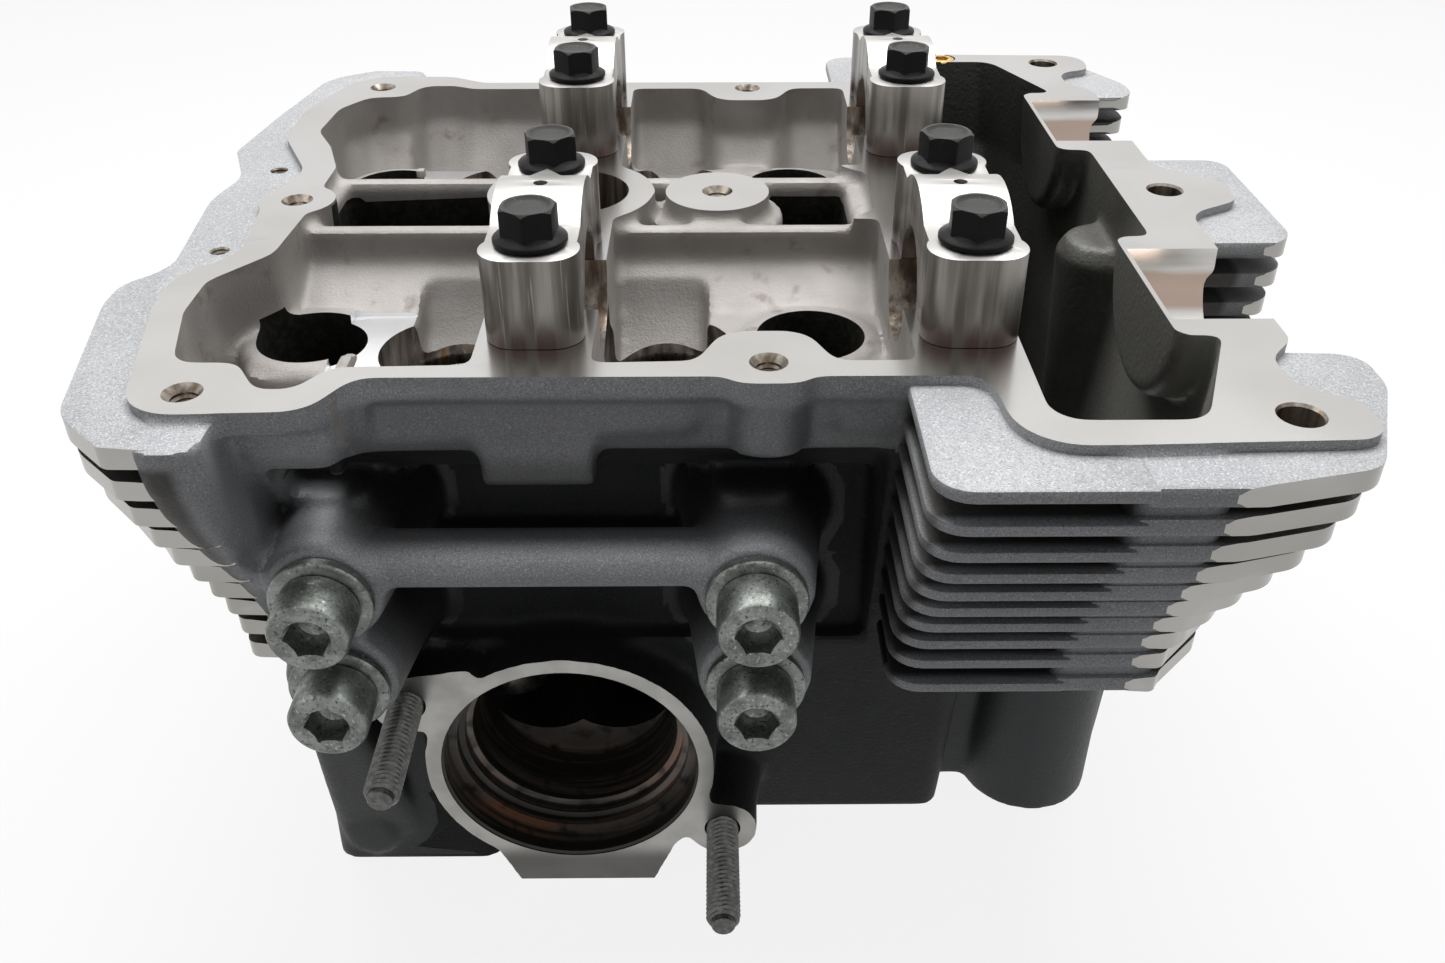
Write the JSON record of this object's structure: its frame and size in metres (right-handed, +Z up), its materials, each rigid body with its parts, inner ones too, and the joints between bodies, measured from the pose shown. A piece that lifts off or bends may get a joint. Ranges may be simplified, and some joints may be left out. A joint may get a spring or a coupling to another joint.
{
  "type": "motorcycle cylinder head",
  "caption": "Air-cooled twin-cam cylinder head with paired valves, finned casting, chain tunnel, side screws and camshaft bearing caps; bare on top.",
  "frame": {"origin": "middle of the overall box, in the plane of the face that meets the cylinder", "axes": "+Z up to the valve cover face, +X along the camshafts towards the chain tunnel, +Y from the exhaust port to the intake port"},
  "size_m": [0.257, 0.246, 0.1755],
  "materials": {
    "painted_casting": "silver paint over cast aluminium, with bare machined faces",
    "machined_aluminium": "milled, satin",
    "black_steel": "black oxide, matt",
    "dowel_steel": "ground",
    "valve_steel": "ground",
    "retainer_steel": "turned",
    "spring_steel": "shot-peened, oiled",
    "seat_steel": "turned",
    "guide_bronze": "turned",
    "seal_rubber": "moulded",
    "zinc_steel": "zinc plated, worn",
    "stud_steel": "dull, threaded",
    "brass": "turned"
  },
  "bodies": {
    "head": {"head_casting": "painted_casting", "exhaust_cam_cap_left": "machined_aluminium", "exhaust_cap_bolt_left_front": "black_steel", "exhaust_cap_dowel_left_front": "dowel_steel", "exhaust_cap_bolt_left_rear": "black_steel", "exhaust_cap_dowel_left_rear": "dowel_steel", "exhaust_valve_spring_left": "spring_steel", "exhaust_valve_seat_left": "seat_steel", "exhaust_valve_guide_left": "guide_bronze", "exhaust_stem_seal_left": "seal_rubber", "exhaust_cam_cap_right": "machined_aluminium", "exhaust_cap_bolt_right_front": "black_steel", "exhaust_cap_dowel_right_front": "dowel_steel", "exhaust_cap_bolt_right_rear": "black_steel", "exhaust_cap_dowel_right_rear": "dowel_steel", "exhaust_valve_spring_right": "spring_steel", "exhaust_valve_seat_right": "seat_steel", "exhaust_valve_guide_right": "guide_bronze", "exhaust_stem_seal_right": "seal_rubber", "intake_cam_cap_left": "machined_aluminium", "intake_cap_bolt_left_front": "black_steel", "intake_cap_dowel_left_front": "dowel_steel", "intake_cap_bolt_left_rear": "black_steel", "intake_cap_dowel_left_rear": "dowel_steel", "intake_valve_spring_left": "spring_steel", "intake_valve_seat_left": "seat_steel", "intake_valve_guide_left": "guide_bronze", "intake_stem_seal_left": "seal_rubber", "intake_cam_cap_right": "machined_aluminium", "intake_cap_bolt_right_front": "black_steel", "intake_cap_dowel_right_front": "dowel_steel", "intake_cap_bolt_right_rear": "black_steel", "intake_cap_dowel_right_rear": "dowel_steel", "intake_valve_spring_right": "spring_steel", "intake_valve_seat_right": "seat_steel", "intake_valve_guide_right": "guide_bronze", "intake_stem_seal_right": "seal_rubber", "side_screw_upper_left": "zinc_steel", "side_washer_upper_left": "zinc_steel", "side_screw_upper_right": "zinc_steel", "side_washer_upper_right": "zinc_steel", "side_screw_lower_left": "zinc_steel", "side_washer_lower_left": "zinc_steel", "side_screw_lower_right": "zinc_steel", "side_washer_lower_right": "zinc_steel", "exhaust_stud_left": "stud_steel", "exhaust_stud_right": "stud_steel", "oil_gallery_plug": "brass"},
    "exhaust_valve_left_group": {"exhaust_valve_left": "valve_steel", "exhaust_spring_retainer_left": "retainer_steel", "exhaust_collet_left": "valve_steel"},
    "exhaust_valve_right_group": {"exhaust_valve_right": "valve_steel", "exhaust_spring_retainer_right": "retainer_steel", "exhaust_collet_right": "valve_steel"},
    "intake_valve_left_group": {"intake_valve_left": "valve_steel", "intake_spring_retainer_left": "retainer_steel", "intake_collet_left": "valve_steel"},
    "intake_valve_right_group": {"intake_valve_right": "valve_steel", "intake_spring_retainer_right": "retainer_steel", "intake_collet_right": "valve_steel"}
  },
  "joints": [
    {"name": "exhaust_valve_left_lift", "type": "slide", "parent": "head", "child": "exhaust_valve_left_group", "axis": [0, 0.225, -0.9744], "range_m": [0, 0.0085], "stiffness_N_per_m": 4000, "springref_m": -0.008, "deforming": ["exhaust_valve_spring_left"]},
    {"name": "exhaust_valve_right_lift", "type": "slide", "parent": "head", "child": "exhaust_valve_right_group", "axis": [0, 0.225, -0.9744], "range_m": [0, 0.0085], "stiffness_N_per_m": 4000, "springref_m": -0.008, "deforming": ["exhaust_valve_spring_right"]},
    {"name": "intake_valve_left_lift", "type": "slide", "parent": "head", "child": "intake_valve_left_group", "axis": [0, -0.225, -0.9744], "range_m": [0, 0.0085], "stiffness_N_per_m": 4000, "springref_m": -0.008, "deforming": ["intake_valve_spring_left"]},
    {"name": "intake_valve_right_lift", "type": "slide", "parent": "head", "child": "intake_valve_right_group", "axis": [0, -0.225, -0.9744], "range_m": [0, 0.0085], "stiffness_N_per_m": 4000, "springref_m": -0.008, "deforming": ["intake_valve_spring_right"]}
  ]
}
